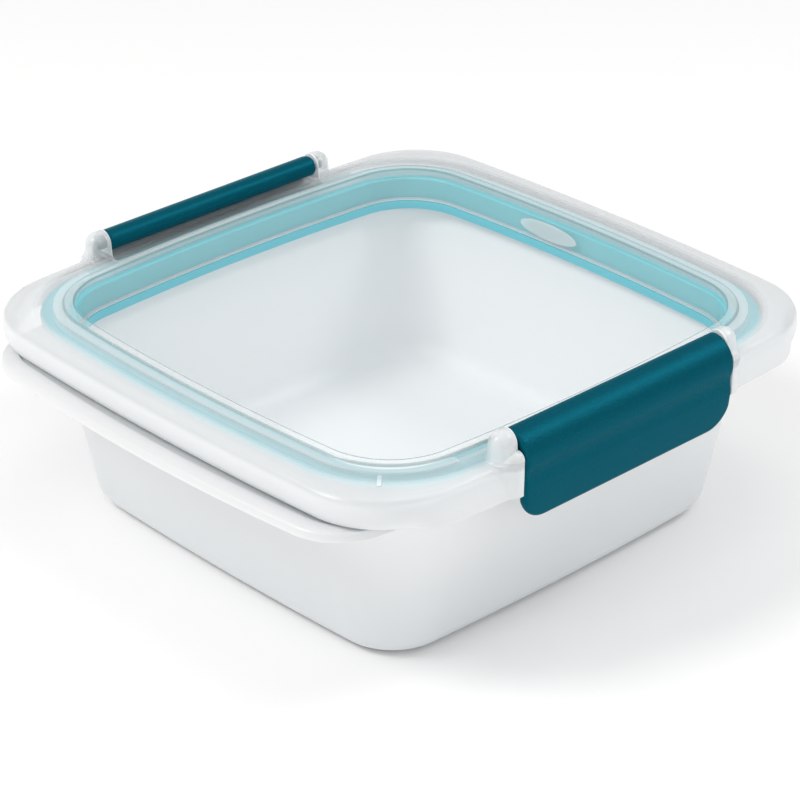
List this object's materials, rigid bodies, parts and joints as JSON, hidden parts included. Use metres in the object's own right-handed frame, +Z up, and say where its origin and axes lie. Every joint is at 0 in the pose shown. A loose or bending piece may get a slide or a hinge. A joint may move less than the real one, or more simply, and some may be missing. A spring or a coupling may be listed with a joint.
{
  "type": "snap lid food container",
  "caption": "Square plastic food container with a clear lid, a soft blue seal ring and teal latch bars on two opposite sides.",
  "frame": {"origin": "centre of the underside, on the surface the container stands on", "axes": "+Z up; X along both latch hinges; front latch on the -Y side, rear latch on the +Y side"},
  "size_m": [0.1888, 0.1756, 0.0689],
  "materials": {
    "white_plastic": "satin translucent white plastic with a soft sheen",
    "clear_plastic": "smooth, slightly frosted clear plastic",
    "blue_silicone": "matt pale blue silicone",
    "teal_plastic": "finely textured deep teal plastic"
  },
  "bodies": {
    "base": {"container_base": "white_plastic"},
    "lid": {"lid": "clear_plastic", "seal_ring": "blue_silicone"},
    "front_latch": {"front_latch": "teal_plastic"},
    "rear_latch": {"rear_latch": "teal_plastic"}
  },
  "joints": [
    {"name": "lid_lift", "type": "slide", "parent": "base", "child": "lid", "axis": [0, 0, 1], "range_m": [0, 0.06]},
    {"name": "front_latch_hinge", "type": "hinge", "parent": "lid", "child": "front_latch", "pos_m": [0, -0.081, 0.0654], "axis": [-1, 0, 0], "range_deg": [0, 110]},
    {"name": "rear_latch_hinge", "type": "hinge", "parent": "lid", "child": "rear_latch", "pos_m": [0, 0.081, 0.0654], "axis": [1, 0, 0], "range_deg": [0, 110]}
  ]
}
